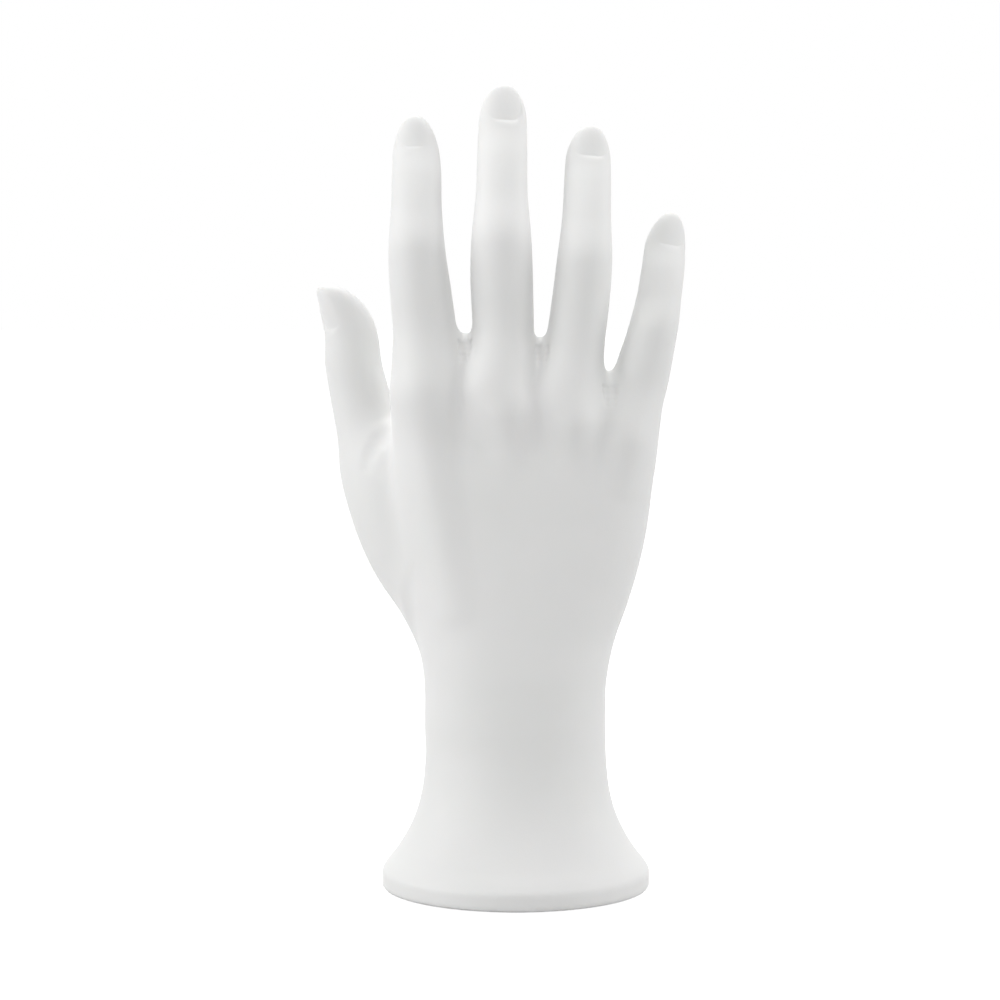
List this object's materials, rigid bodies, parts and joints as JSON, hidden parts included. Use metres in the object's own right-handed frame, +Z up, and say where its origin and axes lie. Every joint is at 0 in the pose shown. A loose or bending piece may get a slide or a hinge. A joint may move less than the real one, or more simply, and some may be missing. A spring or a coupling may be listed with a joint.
{
  "type": "hand jewelry display",
  "caption": "Upright right hand with spread fingers, cast in matt white resin on a round flared foot, with a non-slip pad under it; holds rings, bracelets and chains.",
  "frame": {"origin": "centre of the round foot on the surface the stand rests on, at the underside of the non-slip pad", "axes": "+Z up along the hand to the fingertips, -Y out of the back of the hand, +Y out of the palm, -X towards the thumb"},
  "size_m": [0.0687, 0.05, 0.1499],
  "materials": {
    "resin": "fine matt cast resin, bright white",
    "pad": "pale grey closed-cell foam, matt"
  },
  "bodies": {
    "root": {"hand_casting": "resin", "base_pad": "pad"}
  },
  "joints": []
}
